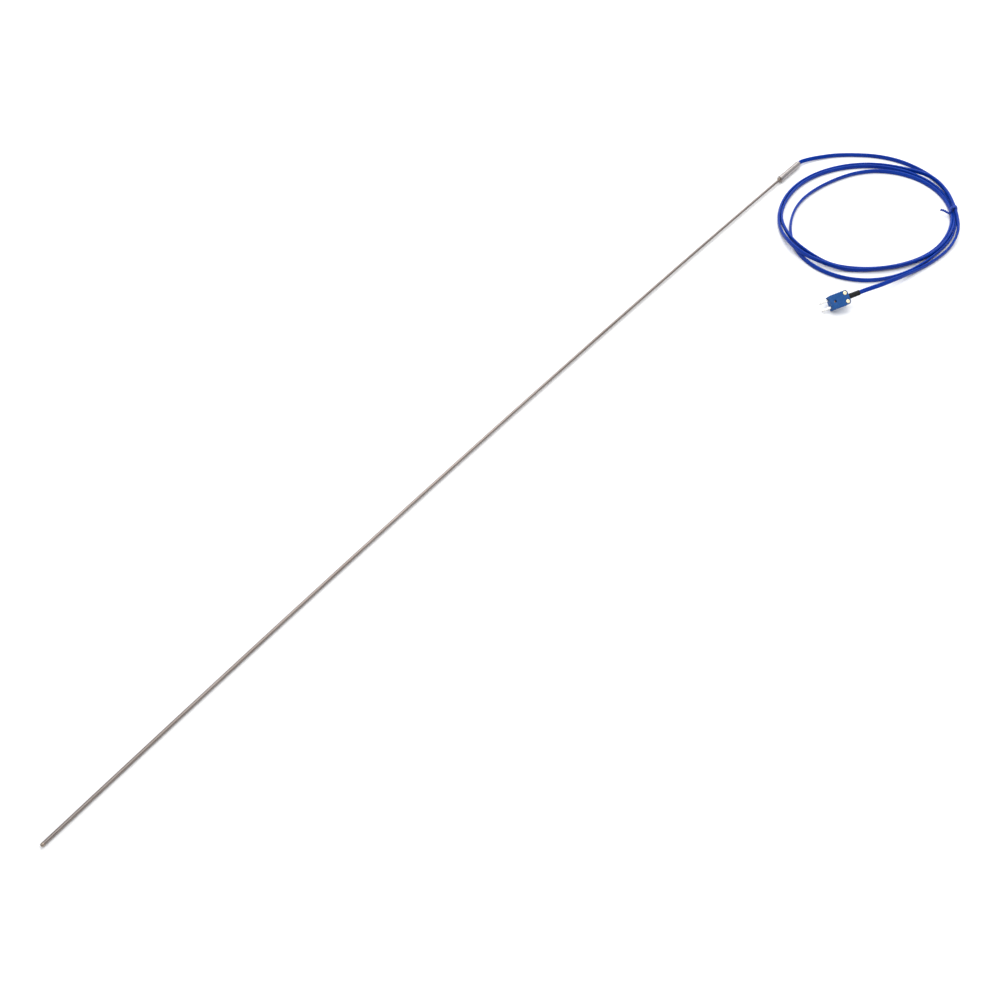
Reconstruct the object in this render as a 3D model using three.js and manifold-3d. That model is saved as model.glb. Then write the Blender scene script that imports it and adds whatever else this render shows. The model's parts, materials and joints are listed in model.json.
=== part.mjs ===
// A mineral-insulated thermocouple probe: a long 3 mm metal sheath closed at the sensing tip, a pot
// seal where the sheath meets a flat twin lead, a loose tied coil of that lead, and a miniature
// flat-pin plug. Units are millimetres. +X runs along the pot seal from the tip towards the lead,
// +Z is up, and the origin is on the floor under the middle of the rigid probe.

import * as THREE from 'three';
import { mergeVertices } from 'three/addons/utils/BufferGeometryUtils.js';
import Module from 'manifold-3d';

const wasm = await Module();
wasm.setup();

// ---------------------------------------------------------------- driving dimensions

const fineGap = 0.1; // between the small parts packed inside the sheath, the pot and the plug
const gap = 0.3; // between larger parts that touch

// Sheath: metal tube round compacted mineral and two thermoelement wires
const sheathLength = 1000; // from the pot seal's front face to the end of the tip
const sheathRadius = 1.5;
const sheathBore = 1.2;
const sheathBow = 6; // how far its middle stands off a straight line between its ends
const sheathInsidePot = 10;
const sheathSteps = 16;
const tipLength = 2;
const tipSpigotLength = 1.5;
const junctionRadius = 0.55;
const wireRadius = 0.22;
const wireOffset = 0.48; // of each wire from the middle of the sheath

// Pot seal: the sleeve where the sheath's wires are joined to the lead
const potLength = 40;
const potRadius = 3.4;
const potBore = 2.8;
const collarRadius = 3.8;
const collarLength = 3;
const potFrontWall = 2;
const ferruleRadius = 1.95;
const ferruleLength = 2.6;
const spliceOffset = 1.35; // of each splice from the pot's axis
const spliceStart = 16;
const spliceLength = 6.5;
const spliceRadius = 0.75;
const spliceBore = 0.35;
const pottingStart = 2.4;
const jacketStart = 31; // where the lead's jacket ends inside the pot

// Lead: flat twin cable
const leadWidth = 4.6;
const leadThickness = 2.7;
const coreRadius = 0.62;
const coreOffset = 0.75;
const strandRadius = 0.25; // of a core's bare end

// Coil: the loose oval winding that lies beside the pot seal
const coilCentre = new THREE.Vector2(487, -101);
const coilOuter = new THREE.Vector2(116, 92); // half lengths along X and Y
const coilWidthShare = 0.24; // width of the ring, as a share of its outer half length
const coilHeight = 9.6;
const tiePlace = new THREE.Vector2(555.8, -166.3);
const tieHeading = THREE.MathUtils.degToRad(-145); // of the bundle where the tie holds it
const tieWidth = 3;
const tieLoop = new THREE.Vector2(9, coilHeight);
const tieStrip = 0.8;
const tieTailLength = 12;

// Plug: two half shells, two flat pins and the terminal screws that clamp the cores
const plugLength = 20.5;
const plugFrontHalf = 7;
const plugHalf = 7.5;
const plugHalfThickness = 4;
const splitHalf = 0.15; // half of the joint between the two shells
const rearCornerRadius = 3;
const gripStart = 3;
const gripPitch = 2.9;
const gripCount = 5;
const gripDepth = 0.45;
const gripWidth = 1.4;
const pinSpacing = 7.9;
const pinThickness = 0.8;
const pinTailThickness = 0.7;
const pinReach = 10.5; // beyond the plug's front face
const pinWidths = { positive: 2.4, negative: 3.2 };
const pinSides = { positive: -1, negative: 1 };
const terminalX = plugLength - rearCornerRadius;
const terminalY = plugHalf - rearCornerRadius;
const terminalShank = 1.1;
const terminalHead = 2.1;
const headBottom = 1.9;
const headTop = 4.2;
const coverScrewX = 5.2;
const sleeveWidth = 5.8;
const sleeveThickness = 3.9;
const sleeveInside = 0.8; // how far the strain relief reaches into the plug
const sleeveOutside = 12.8;
const plugPlace = new THREE.Vector3(327, -141.7, 0);
const plugYaw = THREE.MathUtils.degToRad(-29.5);
const plugPitch = THREE.MathUtils.degToRad(9.7);
const plugRoll = THREE.MathUtils.degToRad(35.4);

// The lead's loose stretches: from the pot seal to the coil, and from the coil to the plug
const probeRun = [
  [534, 7.6, 3.5],
  [542.8, 3.3, 3.1],
  [551.9, -2.3, 2.8],
  [562.6, -9.7, 2.5],
  [571.4, -17.7, 2.4],
  [579.5, -26.5, 2.3],
  [586.7, -35.6, 2.3],
  [593.2, -45, 2.3],
  [598.5, -55.1, 2.3],
  [602.5, -66, 2.3],
  [604.9, -77.6, 2.3],
  [605.4, -90.1, 2.3],
];
const plugRun = [
  [406.8, -173.8, 6.9],
  [397.3, -171.5, 8.6],
  [387.4, -169.3, 10.4],
  [377.8, -166.8, 12.1],
  [369.2, -164.1, 13.4],
];

// ---------------------------------------------------------------- materials

function finish(color, roughness, metalness) {
  return new THREE.MeshStandardMaterial({ color, roughness, metalness });
}

const steel = finish(0xa9a39f, 0.35, 1);
const mineral = finish(0xe9e6dd, 0.95, 0);
const copper = finish(0xb8734a, 0.4, 1);
const constantan = finish(0xb9b2a4, 0.4, 1);
const brass = finish(0xe8cf9a, 0.3, 1);
const tinPlate = finish(0xd8d8d6, 0.25, 1);
const epoxy = finish(0xddd3a0, 0.6, 0);
const glassFibre = finish(0xf0ede4, 0.85, 0);
const bluePvc = finish(0x0c2f9e, 0.35, 0);
const whitePvc = finish(0xe8e8ea, 0.45, 0);
const blueMoulding = finish(0x2d5f9e, 0.55, 0);
const blackRubber = finish(0x17171a, 0.5, 0);

const poleMetal = { positive: copper, negative: constantan };
const coreColour = { positive: whitePvc, negative: bluePvc };

// ---------------------------------------------------------------- helpers

function add(group, name, geometry, material) {
  const mesh = new THREE.Mesh(geometry, material);
  mesh.name = name;
  group.add(mesh);
}

/** A solid turned about the X axis, from [radius, distance along X] points. */
function turned(profile, segments) {
  const points = profile.map(([radius, along]) => new THREE.Vector2(radius, along));
  return new THREE.LatheGeometry(points, segments).rotateZ(-Math.PI / 2);
}

/** A tube about the X axis. */
function tube(outer, inner, start, end, segments) {
  const profile = [
    [outer, start],
    [outer, end],
    [inner, end],
    [inner, start],
    [outer, start],
  ];
  return turned(profile, segments);
}

/** A solid round bar about the X axis. */
function bar(radius, start, end, segments) {
  const profile = [
    [0, start],
    [radius, start],
    [radius, end],
    [0, end],
  ];
  return turned(profile, segments);
}

/** A solid turned about the Z axis at x, y, from [radius, height] points. */
function turnedUpright(profile, x, y, segments) {
  const points = profile.map(([radius, height]) => new THREE.Vector2(radius, height));
  return new THREE.LatheGeometry(points, segments).rotateX(Math.PI / 2).translate(x, y, 0);
}

/** An upright round bar at x, y. */
function post(radius, x, y, bottom, top) {
  const profile = [
    [0, bottom],
    [radius, bottom],
    [radius, top],
    [0, top],
  ];
  return turnedUpright(profile, x, y, 20);
}

function box(x0, x1, y0, y1, z0, z1) {
  const block = new THREE.BoxGeometry(x1 - x0, y1 - y0, z1 - z0);
  return block.translate((x0 + x1) / 2, (y0 + y1) / 2, (z0 + z1) / 2);
}

function circle(radius, x = 0, y = 0) {
  return new THREE.Path().absarc(x, y, radius, 0, 2 * Math.PI);
}

function disc(radius, holes = []) {
  const shape = new THREE.Shape().absarc(0, 0, radius, 0, 2 * Math.PI);
  shape.holes.push(...holes);
  return shape;
}

/** A flat oval with round ends, its long side along the section's x or, when upright, y. */
function flatOval(width, thickness, upright = false) {
  const radius = thickness / 2;
  const reach = width / 2 - radius;
  const shape = new THREE.Shape();
  if (upright) {
    shape.absarc(0, reach, radius, 0, Math.PI);
    shape.absarc(0, -reach, radius, Math.PI, 2 * Math.PI);
  } else {
    shape.absarc(reach, 0, radius, -Math.PI / 2, Math.PI / 2);
    shape.absarc(-reach, 0, radius, Math.PI / 2, 1.5 * Math.PI);
  }
  shape.closePath();
  return shape;
}

/** A section in the YZ plane pulled along X from one distance to another. */
function pulled(shape, start, end, curveSegments = 8) {
  const solid = new THREE.ExtrudeGeometry(shape, {
    depth: end - start,
    bevelEnabled: false,
    curveSegments,
  });
  return solid.rotateY(Math.PI / 2).rotateX(Math.PI / 2).translate(start, 0, 0);
}

function swept(shape, path, steps, curveSegments) {
  return new THREE.ExtrudeGeometry(shape, { extrudePath: path, steps, bevelEnabled: false, curveSegments });
}

/** A round bar along a smooth curve through some points. */
function cable(points, radius, steps, sides) {
  const path = new THREE.CatmullRomCurve3(points.map((point) => new THREE.Vector3(...point)));
  return swept(disc(radius), path, steps, sides / 2);
}

function toSolid(geometry) {
  const plain = geometry.clone();
  plain.deleteAttribute('normal');
  plain.deleteAttribute('uv');
  const merged = mergeVertices(plain, 1e-4);
  const corners = merged.index.array;
  const kept = [];
  for (let i = 0; i < corners.length; i += 3) {
    const [a, b, c] = [corners[i], corners[i + 1], corners[i + 2]];
    if (a !== b && b !== c && c !== a) kept.push(a, b, c);
  }
  return new wasm.Manifold(new wasm.Mesh({
    numProp: 3,
    vertProperties: merged.attributes.position.array,
    triVerts: Uint32Array.from(kept),
  }));
}

function toGeometry(solid) {
  const mesh = solid.getMesh();
  const geometry = new THREE.BufferGeometry();
  geometry.setAttribute('position', new THREE.BufferAttribute(mesh.vertProperties, 3));
  geometry.setIndex(new THREE.BufferAttribute(mesh.triVerts, 1));
  geometry.computeVertexNormals();
  return geometry;
}

function cut(geometry, tools) {
  return toGeometry(tools.reduce((solid, tool) => solid.subtract(toSolid(tool)), toSolid(geometry)));
}

function joined(first, second) {
  return toGeometry(toSolid(first).add(toSolid(second)));
}

// ---------------------------------------------------------------- sheath

const bowRadius = sheathLength ** 2 / (8 * sheathBow);

/**
 * A line beside the sheath's centre, through [distance from the pot's front face, height over the
 * centre] stations. The sheath bends away from +X towards -Y as it leaves the pot, and is straight
 * inside it. One step of a sweep runs from each station to the next.
 */
class SheathLine extends THREE.Curve {
  constructor(stations) {
    super();
    this.stations = stations;
  }

  getUtoTmapping(u) {
    return u;
  }

  getPoint(t, target = new THREE.Vector3()) {
    const last = this.stations.length - 1;
    const index = Math.min(Math.floor(t * last), last - 1);
    const share = t * last - index;
    const [along, height] = this.stations[index].map(
      (value, axis) => value + (this.stations[index + 1][axis] - value) * share,
    );
    if (along >= 0) return target.set(along, 0, height);
    const turn = along / bowRadius;
    return target.set(bowRadius * Math.sin(turn), bowRadius * (Math.cos(turn) - 1), height);
  }
}

/** Evenly spaced stations at one height, out to the pot's front face, then one inside the pot. */
function sheathStations(start, end, height = 0) {
  const stations = [];
  for (let step = 0; step <= sheathSteps; step += 1) {
    stations.push([start * (1 - step / sheathSteps), height]);
  }
  stations.push([end, height]);
  return stations;
}

function alongSheath(shape, stations, curveSegments) {
  return swept(shape, new SheathLine(stations), stations.length - 1, curveSegments);
}

/** Puts a solid made about the X axis where the sheath's centre is, so far from the pot. */
function placeOnSheath(geometry, along) {
  const turn = along / bowRadius;
  const place = new SheathLine([[along, 0], [0, 0]]).getPoint(0);
  return geometry.rotateZ(-turn).translate(place.x, place.y, place.z);
}

/** The welded closure: a disc with a rounded nose, and a spigot inside the sheath. */
function tipCap() {
  const nose = [];
  const noseRadius = 1.1;
  const steps = 5;
  for (let step = 0; step <= steps; step += 1) {
    const angle = (step / steps) * (Math.PI / 2);
    nose.push([
      sheathRadius - noseRadius * (1 - Math.sin(angle)),
      noseRadius * (1 - Math.cos(angle)),
    ]);
  }
  const spigot = sheathBore - fineGap;
  const profile = [
    [0, 0],
    ...nose,
    [sheathRadius, tipLength],
    [spigot, tipLength],
    [spigot, tipLength + tipSpigotLength],
    [0, tipLength + tipSpigotLength],
  ];
  return turned(profile, 24);
}

function buildSheath(group) {
  const tip = -sheathLength;
  const tubeStart = tip + tipLength + fineGap;
  const junctionAt = tip + tipLength + tipSpigotLength + junctionRadius + 2 * fineGap;
  const mineralStart = junctionAt + junctionRadius + 1;
  const wireStart = junctionAt + junctionRadius + fineGap;
  const mineralRadius = sheathBore - fineGap;
  const sealStart = sheathInsidePot - 1;

  const sheathShape = disc(sheathRadius, [circle(sheathBore)]);
  add(group, 'sheath', alongSheath(sheathShape, sheathStations(tubeStart, sheathInsidePot), 12), steel);
  add(group, 'tip_cap', placeOnSheath(tipCap(), tip), steel);

  const bead = new THREE.SphereGeometry(junctionRadius, 12, 8);
  add(group, 'hot_junction', placeOnSheath(bead.scale(1, 1, 1.5), junctionAt), constantan);

  // A swept section's x points down, and a pulled section's y points up.
  const holeRadius = wireRadius + fineGap;
  const sweptHoles = [wireOffset, -wireOffset].map((offset) => circle(holeRadius, offset, 0));
  const pulledHoles = [wireOffset, -wireOffset].map((offset) => circle(holeRadius, 0, offset));
  const mineralStations = sheathStations(mineralStart, sealStart);
  add(group, 'mineral_insulation', alongSheath(disc(mineralRadius, sweptHoles), mineralStations, 10), mineral);
  const seal = pulled(disc(mineralRadius, pulledHoles), sealStart + fineGap, sheathInsidePot + 0.8, 10);
  add(group, 'sheath_end_seal', seal, epoxy);

  for (const [pole, side] of [['positive', 1], ['negative', -1]]) {
    const stations = [
      ...sheathStations(wireStart, sheathInsidePot + 1, side * wireOffset),
      [sheathInsidePot + 3, side * 0.85],
      [sheathInsidePot + 5, side * spliceOffset],
      [spliceStart + spliceLength / 2 - fineGap, side * spliceOffset],
    ];
    add(group, `thermoelement_${pole}`, alongSheath(disc(wireRadius), stations, 4), poleMetal[pole]);
  }
}

// ---------------------------------------------------------------- pot seal

/** The steel sleeve: a collar and a front wall with a hole at one end, open at the other. */
function potSleeve() {
  const wallHole = ferruleRadius + fineGap;
  const profile = [
    [wallHole, 0],
    [collarRadius - 0.5, 0],
    [collarRadius, 0.5],
    [collarRadius, collarLength],
    [potRadius, collarLength + 0.4],
    [potRadius, potLength],
    [potBore, potLength],
    [potBore, potFrontWall],
    [wallHole, potFrontWall],
    [wallHole, 0],
  ];
  return turned(profile, 32);
}

/** The filling that holds everything in the pot, with the room that those parts take up. */
function pottingCompound() {
  const filling = bar(potBore - fineGap, pottingStart, potLength - gap, 24);
  const sheathRoom = bar(sheathRadius + 2 * fineGap, 0, sheathInsidePot + 2, 20);
  const spliceRooms = [1, -1].map((side) => {
    const room = bar(spliceRadius + 0.55, sheathInsidePot + 1.9, jacketStart - 3.9, 14);
    return room.translate(0, 0, side * spliceOffset);
  });
  const jacketShape = flatOval(leadWidth + 2 * fineGap, leadThickness + 2 * fineGap, true);
  const jacketRoom = pulled(jacketShape, jacketStart - 4, potLength + 1);
  return cut(filling, [sheathRoom, ...spliceRooms, jacketRoom]);
}

/** One of the lead's cores inside the pot: insulated from the jacket, and bare into its splice. */
function potCore(side) {
  const insulated = [
    [jacketStart - gap, 0, side * coreOffset],
    [jacketStart - 1.5, 0, side * (coreOffset + 0.1)],
    [jacketStart - 3.5, 0, side * spliceOffset],
    [jacketStart - 5.5, 0, side * spliceOffset],
  ];
  const bare = [
    [jacketStart - 5, 0, side * spliceOffset],
    [spliceStart + spliceLength, 0, side * spliceOffset],
    [spliceStart + spliceLength / 2 + fineGap, 0, side * spliceOffset],
  ];
  return joined(cable(insulated, coreRadius, 8, 8), cable(bare, strandRadius, 3, 8));
}

function buildPotSeal(group) {
  add(group, 'pot_sleeve', potSleeve(), steel);
  const ferruleBore = sheathRadius + fineGap;
  add(group, 'front_ferrule', tube(ferruleRadius, ferruleBore, -ferruleLength, potFrontWall, 24), steel);
  add(group, 'potting_compound', pottingCompound(), epoxy);
  for (const [pole, side] of [['positive', 1], ['negative', -1]]) {
    const lift = side * spliceOffset;
    const splice = tube(spliceRadius, spliceBore, spliceStart, spliceStart + spliceLength, 12);
    add(group, `splice_${pole}`, splice.translate(0, 0, lift), brass);
    const sleeveBore = spliceRadius + fineGap;
    const sleeve = tube(sleeveBore + 0.25, sleeveBore, spliceStart - 1, spliceStart + spliceLength + 1.5, 12);
    add(group, `splice_insulator_${pole}`, sleeve.translate(0, 0, lift), glassFibre);
    add(group, `pot_core_${pole}`, potCore(side), coreColour[pole]);
  }
  const jacket = pulled(flatOval(leadWidth, leadThickness, true), jacketStart, potLength);
  add(group, 'jacket_in_pot', jacket, bluePvc);
}

// ---------------------------------------------------------------- lead

/** The outer shape of the coil: an oval ring, open for the width of the tie that holds it. */
function coilSolid() {
  const chamfer = 1.5;
  const outer = coilOuter.x;
  const inner = outer * (1 - coilWidthShare);
  const profile = [
    [inner, chamfer],
    [inner + chamfer, 0],
    [outer - chamfer, 0],
    [outer, chamfer],
    [outer, coilHeight - chamfer],
    [outer - chamfer, coilHeight],
    [inner + chamfer, coilHeight],
    [inner, coilHeight - chamfer],
    [inner, chamfer],
  ];
  const ring = turnedUpright(profile, 0, 0, 48).scale(1, coilOuter.y / coilOuter.x, 1);
  const slotHalf = tieWidth / 2 + gap;
  const slotReach = 25; // enough to cross the whole bundle
  const slot = box(-slotHalf, slotHalf, -slotReach, slotReach, -1, coilHeight + 1);
  slot.rotateZ(tieHeading).translate(tiePlace.x, tiePlace.y, 0);
  return cut(ring.translate(coilCentre.x, coilCentre.y, 0), [slot]);
}

/** The twist tie: a flat loop round the bundle, with its twisted ends sticking out inwards. */
function tieSolid() {
  const [halfWidth, halfHeight] = [tieLoop.x / 2, tieLoop.y / 2];
  const corner = 2;
  const outer = new THREE.Shape();
  outer.absarc(halfWidth - corner, halfHeight - corner, corner, 0, Math.PI / 2);
  outer.absarc(corner - halfWidth, halfHeight - corner, corner, Math.PI / 2, Math.PI);
  outer.absarc(corner - halfWidth, corner - halfHeight, corner, Math.PI, 1.5 * Math.PI);
  outer.absarc(halfWidth - corner, corner - halfHeight, corner, 1.5 * Math.PI, 2 * Math.PI);
  const opening = flatOval(tieLoop.y - 2 * tieStrip, tieLoop.x - 2 * tieStrip, true);
  outer.holes.push(new THREE.Path(opening.getPoints(6)));
  const loop = pulled(outer, -tieWidth / 2, tieWidth / 2, 4);
  const tailBase = halfWidth - tieStrip / 2;
  const tail = new THREE.CylinderGeometry(0.8, 0.8, tieTailLength, 8);
  tail.translate(0, -tailBase - tieTailLength / 2, 0.5);
  return joined(loop, tail).translate(0, 0, halfHeight).rotateZ(tieHeading);
}

function buildLead(group, potExit, plugEntry) {
  const runRadius = leadThickness * 0.8;
  const leavingPot = [
    [potExit.x + gap, potExit.y, potExit.z],
    [potExit.x + 4, potExit.y, potExit.z],
  ];
  add(group, 'lead_from_pot', cable([...leavingPot, ...probeRun], runRadius, 22, 8), bluePvc);
  add(group, 'lead_coil', coilSolid(), bluePvc);
  add(group, 'lead_tie', tieSolid().translate(tiePlace.x, tiePlace.y, 0), bluePvc);
  add(group, 'lead_to_plug', cable([...plugRun, ...plugEntry], runRadius, 14, 8), bluePvc);
}

// ---------------------------------------------------------------- plug

/** One side of the plug's outline, from its front corner to its rear corner, with finger grips. */
function gripSide() {
  const points = [[0, plugFrontHalf], [gripStart - 1, plugHalf]];
  for (let grip = 0; grip < gripCount; grip += 1) {
    const start = gripStart + grip * gripPitch;
    points.push([start, plugHalf]);
    points.push([start + gripWidth / 2, plugHalf - gripDepth]);
    points.push([start + gripWidth, plugHalf]);
  }
  return points;
}

function plugOutline() {
  const side = gripSide();
  const outline = new THREE.Shape();
  outline.moveTo(side[0][0], -side[0][1]);
  side.slice(1).forEach(([x, y]) => outline.lineTo(x, -y));
  outline.absarc(terminalX, -terminalY, rearCornerRadius, -Math.PI / 2, 0);
  outline.absarc(terminalX, terminalY, rearCornerRadius, 0, Math.PI / 2);
  side.reverse().forEach(([x, y]) => outline.lineTo(x, y));
  return outline;
}

function plugHalfBlock(bottom, top) {
  const block = new THREE.ExtrudeGeometry(plugOutline(), {
    depth: top - bottom,
    bevelEnabled: false,
    curveSegments: 8,
  });
  return block.translate(0, 0, bottom);
}

/** The rooms for the pins, cores, jacket and strain relief that both shells share. */
function sharedRooms() {
  const pinDepth = pinThickness / 2 + gap;
  const rooms = [];
  for (const pole of ['positive', 'negative']) {
    const side = pinSides[pole];
    const middle = (side * pinSpacing) / 2;
    const half = pinWidths[pole] / 2 + gap;
    rooms.push(box(-1, terminalX - 2, middle - half, middle + half, -pinDepth, pinDepth));
    const [near, far] = [side * (terminalY - 2.2), side * (terminalY + 2.2)];
    const [low, high] = [Math.min(near, far), Math.max(near, far)];
    rooms.push(box(terminalX - 2.5, terminalX + 2.3, low, high, -pinDepth, pinDepth));
  }
  const sleeveHalfWidth = sleeveWidth / 2 + gap;
  const sleeveHalfThickness = sleeveThickness / 2 + gap;
  rooms.push(box(plugLength - sleeveInside - gap, plugLength + 1,
    -sleeveHalfWidth, sleeveHalfWidth, -sleeveHalfThickness, sleeveHalfThickness));
  const coreHalf = leadWidth / 2 + fineGap;
  const coreDepth = leadThickness / 2 + gap;
  rooms.push(box(terminalX - 5.3, plugLength - 1, -coreHalf, coreHalf, -coreDepth, coreDepth));
  return rooms;
}

function plugBase() {
  const nutRoom = post(1.9, coverScrewX, 0, -plugHalfThickness - 1, -1.4);
  const screwHole = post(1, coverScrewX, 0, -2, 0);
  const shankHoles = [1, -1].map((side) => post(terminalShank + gap, terminalX, side * terminalY, -3.2, 0));
  return cut(plugHalfBlock(-plugHalfThickness, -splitHalf),
    [...sharedRooms(), nutRoom, screwHole, ...shankHoles]);
}

function plugCover() {
  const headRooms = [1, -1].map((side) => post(terminalHead + gap, terminalX, side * terminalY, 0, 5));
  const coreRoom = box(terminalX - 5.3, terminalX + 1, -terminalY - 1.7, terminalY + 1.7, 0, 2.2);
  const screwHole = post(1, coverScrewX, 0, 0, 2);
  const screwRecess = post(1.4, coverScrewX, 0, 1.1, 5);
  return cut(plugHalfBlock(splitHalf, plugHalfThickness),
    [...sharedRooms(), ...headRooms, coreRoom, screwHole, screwRecess]);
}

/** A flat outline given a thickness, half above and half below z = 0. */
function flatPiece(shape, thickness) {
  const plate = new THREE.ExtrudeGeometry(shape, { depth: thickness, bevelEnabled: false, curveSegments: 8 });
  return plate.translate(0, 0, -thickness / 2);
}

/**
 * A flat pin: a round-ended blade in front of the plug, and a slightly thinner tail inside it that
 * widens into the plate its screw goes through.
 */
function pin(pole) {
  const side = pinSides[pole];
  const middle = (side * pinSpacing) / 2;
  const half = pinWidths[pole] / 2;
  const blade = new THREE.Shape();
  blade.absarc(half - pinReach, middle, half, Math.PI / 2, 1.5 * Math.PI);
  blade.lineTo(-fineGap, middle - half);
  blade.lineTo(-fineGap, middle + half);
  blade.closePath();

  const tailStart = -1;
  const plateStart = terminalX - 2.2;
  const plateEnd = terminalX + 1.9;
  const plateHalf = 1.9;
  const tail = new THREE.Shape();
  tail.moveTo(tailStart, middle - half);
  tail.lineTo(plateStart, middle - half);
  tail.lineTo(plateStart, side * terminalY - plateHalf);
  tail.lineTo(plateEnd, side * terminalY - plateHalf);
  tail.lineTo(plateEnd, side * terminalY + plateHalf);
  tail.lineTo(plateStart, side * terminalY + plateHalf);
  tail.lineTo(plateStart, middle + half);
  tail.lineTo(tailStart, middle + half);
  tail.closePath();
  tail.holes.push(circle(terminalShank + 2 * fineGap, terminalX, side * terminalY));
  return joined(flatPiece(blade, pinThickness), flatPiece(tail, pinTailThickness));
}

/** A terminal screw with a tall round head and a cross recess. */
function terminalScrew(side) {
  const profile = [
    [0, -2.6],
    [terminalShank, -2.6],
    [terminalShank, headBottom],
    [terminalHead, headBottom],
    [terminalHead, headTop - 0.3],
    [terminalHead - 0.3, headTop],
    [0, headTop],
  ];
  const y = side * terminalY;
  const body = turnedUpright(profile, terminalX, y, 24);
  const [long, short] = [0.9, 0.22];
  return cut(body, [
    box(terminalX - long, terminalX + long, y - short, y + short, headTop - 0.8, headTop + 1),
    box(terminalX - short, terminalX + short, y - long, y + long, headTop - 0.8, headTop + 1),
  ]);
}

/** The captive washer that the screw presses on a core's bare end. */
function clampWasher(side) {
  const [bottom, top] = [1.25, headBottom - fineGap];
  const profile = [
    [terminalHead, bottom],
    [terminalHead, top],
    [terminalShank + fineGap, top],
    [terminalShank + fineGap, bottom],
    [terminalHead, bottom],
  ];
  return turnedUpright(profile, terminalX, side * terminalY, 24);
}

/** One core inside the plug: out of the jacket, forward, and back under its washer. */
function plugCore(side) {
  const insulated = [
    [terminalX - 1, side * coreOffset, 0],
    [terminalX - 2.3, side * 0.85, 0.3],
    [terminalX - 3.7, side * 1.6, 1.05],
    [terminalX - 4.3, side * 2.9, 1.2],
    [terminalX - 3.9, side * 4.1, 1.2],
  ];
  const bare = [
    [terminalX - 4.1, side * 3.8, 1.15],
    [terminalX - 3.3, side * terminalY, 0.95],
    [terminalX - 2.2, side * terminalY, 0.85],
    [terminalX - terminalShank - gap, side * terminalY, 0.85],
  ];
  return joined(cable(insulated, coreRadius, 12, 8), cable(bare, strandRadius, 8, 8));
}

function coverScrew() {
  const profile = [
    [0, -3.4],
    [0.8, -3.4],
    [0.8, 1.2],
    [1.2, 1.2],
    [1.2, 2.1],
    [0, 2.1],
  ];
  const slot = box(coverScrewX - 2, coverScrewX + 2, -0.2, 0.2, 1.7, 3);
  return cut(turnedUpright(profile, coverScrewX, 0, 20), [slot]);
}

function coverNut() {
  const profile = [
    [1.7, -3.6],
    [1.7, -1.6],
    [1.05, -1.6],
    [1.05, -3.6],
    [1.7, -3.6],
  ];
  return turnedUpright(profile, coverScrewX, 0, 6);
}

/** The rubber sleeve that the lead leaves the plug through. */
function strainRelief() {
  const hole = flatOval(leadWidth + 2 * fineGap, leadThickness + 2 * fineGap);
  const shape = flatOval(sleeveWidth, sleeveThickness);
  shape.holes.push(new THREE.Path(hole.getPoints(8)));
  return pulled(shape, plugLength - sleeveInside, plugLength + sleeveOutside);
}

function buildPlug(group) {
  add(group, 'plug_base', plugBase(), blueMoulding);
  add(group, 'plug_cover', plugCover(), blueMoulding);
  for (const pole of ['positive', 'negative']) {
    const side = pinSides[pole];
    add(group, `pin_${pole}`, pin(pole), tinPlate);
    add(group, `terminal_screw_${pole}`, terminalScrew(side), brass);
    add(group, `clamp_washer_${pole}`, clampWasher(side), brass);
    add(group, `plug_core_${pole}`, plugCore(side), coreColour[pole]);
  }
  add(group, 'cover_screw', coverScrew(), brass);
  add(group, 'cover_nut', coverNut(), brass);
  add(group, 'strain_relief', strainRelief(), blackRubber);
  const jacketEnd = plugLength + sleeveOutside;
  add(group, 'jacket_in_plug', pulled(flatOval(leadWidth, leadThickness), terminalX - 0.7, jacketEnd), bluePvc);
}

// ---------------------------------------------------------------- assembly

// The rigid probe rests on its tip and on the pot's collar, centred over the origin.
const probe = new THREE.Group();
buildSheath(probe);
buildPotSeal(probe);
probe.rotation.y = -Math.asin((collarRadius - sheathRadius) / sheathLength);
const probeBox = new THREE.Box3().setFromObject(probe, true);
const probeMiddle = probeBox.getCenter(new THREE.Vector3());
probe.position.set(-probeMiddle.x, -probeMiddle.y, -probeBox.min.z);
probe.updateMatrixWorld(true);

// The plug leans on its lower edge, held up at its other side by the lead.
const plug = new THREE.Group();
buildPlug(plug);
plug.rotation.set(plugRoll, -plugPitch, plugYaw, 'ZYX');
plug.position.copy(plugPlace);
plug.position.z = -new THREE.Box3().setFromObject(plug, true).min.z;
plug.updateMatrixWorld(true);

const sleeveEnd = plugLength + sleeveOutside;
const potExit = probe.localToWorld(new THREE.Vector3(potLength, 0, 0));
const plugEntry = [6, gap].map((reach) => {
  return plug.localToWorld(new THREE.Vector3(sleeveEnd + reach, 0, 0)).toArray();
});

const lead = new THREE.Group();
buildLead(lead, potExit, plugEntry);

const thermocouple = new THREE.Group();
thermocouple.add(probe, lead, plug);

export default thermocouple;
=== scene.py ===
import json
import math

import bmesh
import bpy
import numpy as np
from mathutils import Matrix, Vector


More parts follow.
